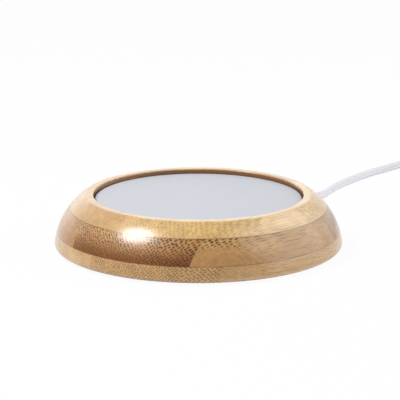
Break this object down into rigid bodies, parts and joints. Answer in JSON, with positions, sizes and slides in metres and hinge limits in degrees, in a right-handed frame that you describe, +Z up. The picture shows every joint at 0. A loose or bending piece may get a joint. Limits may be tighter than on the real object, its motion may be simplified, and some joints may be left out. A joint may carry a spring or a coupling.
{
  "type": "mug warmer",
  "caption": "Round electric mug warmer: a glossy laminated bamboo ring with a sunk pale metal hot plate and a thin white lead that ends in a flat low-voltage plug.",
  "frame": {"origin": "on the table under the middle of the ring, level with the undersides of the rubber feet", "axes": "+Z up, the way the hot plate faces; +Y to the back, where the lead comes out; +X to the right"},
  "size_m": [0.1186, 0.2755, 0.021],
  "materials": {
    "bamboo_light": "clear gloss lacquer over pale bamboo, end grain dots and streaks",
    "bamboo_caramel": "clear gloss lacquer over steamed brown bamboo, coarse end grain dots",
    "bamboo_tan": "clear gloss lacquer over tan bamboo, fine end grain dots",
    "plate_paint": "pale grey matte heat-proof coating",
    "seal_silicone": "dark silicone, satin",
    "polyimide": "amber film",
    "heater_foil": "etched resistance foil",
    "ceramic_felt": "pressed ceramic fibre felt",
    "sheet_steel": "zinc plated sheet",
    "screw_steel": "zinc plated screws",
    "fuse_metal": "drawn can",
    "glass_sleeve": "braided glass fibre sleeving",
    "wire_white": "heat-proof wire cover",
    "wire_red": "extruded PVC",
    "wire_black": "extruded PVC",
    "shrink_tube": "shrunk polyolefin",
    "cord_pvc": "white PVC, satin",
    "base_abs": "moulded ABS, fine spark texture",
    "foot_rubber": "soft rubber",
    "clamp_nylon": "moulded nylon",
    "plug_pvc": "white over-moulding, satin",
    "plug_steel": "nickel plated stamped sheet",
    "plug_block": "moulded nylon",
    "contact_gold": "gold flash plating",
    "tie_plastic": "flat tie with a plastic skin"
  },
  "bodies": {
    "root": {"ring_top_ply": "bamboo_light", "ring_middle_ply": "bamboo_caramel", "ring_bottom_ply": "bamboo_tan", "hot_plate": "plate_paint", "plate_seal": "seal_silicone", "heater_film": "polyimide", "heater_track": "heater_foil", "insulation_pad": "ceramic_felt", "retainer_plate": "sheet_steel", "retainer_screws": "screw_steel", "thermal_fuse": "fuse_metal", "fuse_sleeve": "glass_sleeve", "heater_lead_live": "wire_white", "heater_lead_return": "wire_white", "splice_sleeves": "shrink_tube", "core_red": "wire_red", "core_black": "wire_black", "cord_inner": "cord_pvc", "cord_grommet": "plug_pvc", "cord_clamp_bar": "clamp_nylon", "clamp_screws": "screw_steel", "base_cover": "base_abs", "base_screws": "screw_steel", "rubber_feet": "foot_rubber", "cord_run": "cord_pvc", "cord_coil": "cord_pvc", "coil_tie": "tie_plastic", "cord_end_run": "cord_pvc", "plug_boot": "plug_pvc", "plug_body": "plug_pvc", "plug_shell": "plug_steel", "plug_insulator": "plug_block", "plug_contacts": "contact_gold"}
  },
  "joints": []
}
